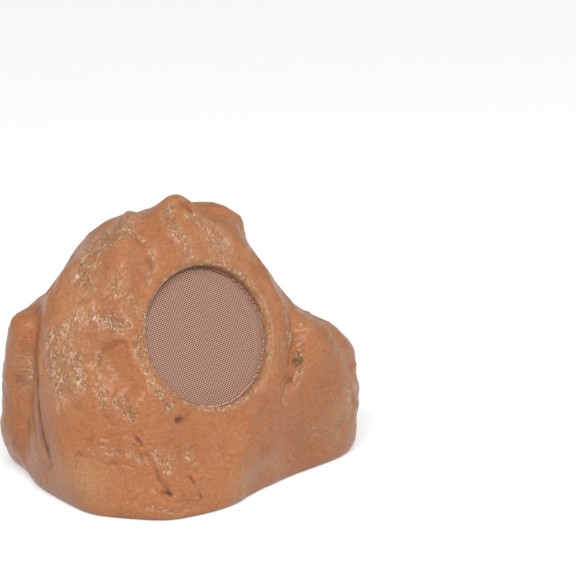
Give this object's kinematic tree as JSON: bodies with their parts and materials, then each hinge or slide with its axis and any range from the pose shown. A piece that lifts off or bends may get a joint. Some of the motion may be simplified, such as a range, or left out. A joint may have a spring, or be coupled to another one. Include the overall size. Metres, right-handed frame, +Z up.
{
  "type": "rock shaped garden speaker",
  "caption": "Garden loudspeaker with a moulded rock shaped housing, a tilted round perforated grille over a single cone driver, a closed base on rubber feet and a rear cable gland.",
  "frame": {"origin": "middle of the bounding box at the level the feet stand on", "axes": "+Z up, -Y the way the grille looks, +X to the right of someone facing the grille"},
  "size_m": [0.3276, 0.2516, 0.2638],
  "materials": {
    "rock": "gloss terracotta coat over a moulded resin shell",
    "mesh": "perforated steel, satin",
    "foam": "closed-cell foam tape",
    "basket_steel": "black powder coat",
    "surround_rubber": "soft rubber",
    "cone": "treated cone, matt",
    "former": "amber film",
    "copper": "enamelled copper wire",
    "spider_cloth": "impregnated cloth",
    "motor_steel": "zinc plated",
    "ferrite": "dark ferrite",
    "screw_steel": "stainless",
    "strip_board": "brown board",
    "lug_brass": "tinned brass",
    "wire_black": "insulated wire",
    "wire_red": "insulated wire",
    "block_plastic": "natural nylon",
    "wool": "fibre wadding",
    "base_plastic": "moulded, fine grain",
    "foot_rubber": "soft rubber",
    "gland_nylon": "moulded nylon"
  },
  "bodies": {
    "cabinet": {"rock_shell": "rock", "grille_mesh": "mesh", "grille_tape": "foam", "driver_gasket": "foam", "woofer_basket": "basket_steel", "woofer_surround": "surround_rubber", "woofer_spider": "spider_cloth", "top_plate": "motor_steel", "magnet_ring": "ferrite", "pole_and_back_plate": "motor_steel", "driver_screws": "screw_steel", "terminal_strip": "strip_board", "terminal_lugs": "lug_brass", "lead_wire_left": "wire_black", "lead_wire_right": "wire_red", "terminal_block": "block_plastic", "damping_wool": "wool", "base_plate": "base_plastic", "base_gasket": "foam", "base_screws": "screw_steel", "feet": "foot_rubber", "gland_body": "gland_nylon", "gland_washer": "foam", "gland_seal": "foam", "gland_cap_nut": "gland_nylon", "gland_lock_nut": "gland_nylon"},
    "cone_assembly": {"woofer_cone": "cone", "dust_cap": "cone", "coil_former": "former", "voice_coil": "copper"}
  },
  "joints": [
    {"name": "cone_travel", "type": "slide", "parent": "cabinet", "child": "cone_assembly", "axis": [0, -0.9272, 0.3746], "range_m": [-0.004, 0.004], "stiffness_N_per_m": 1200, "deforming": ["woofer_surround", "woofer_spider"]}
  ]
}
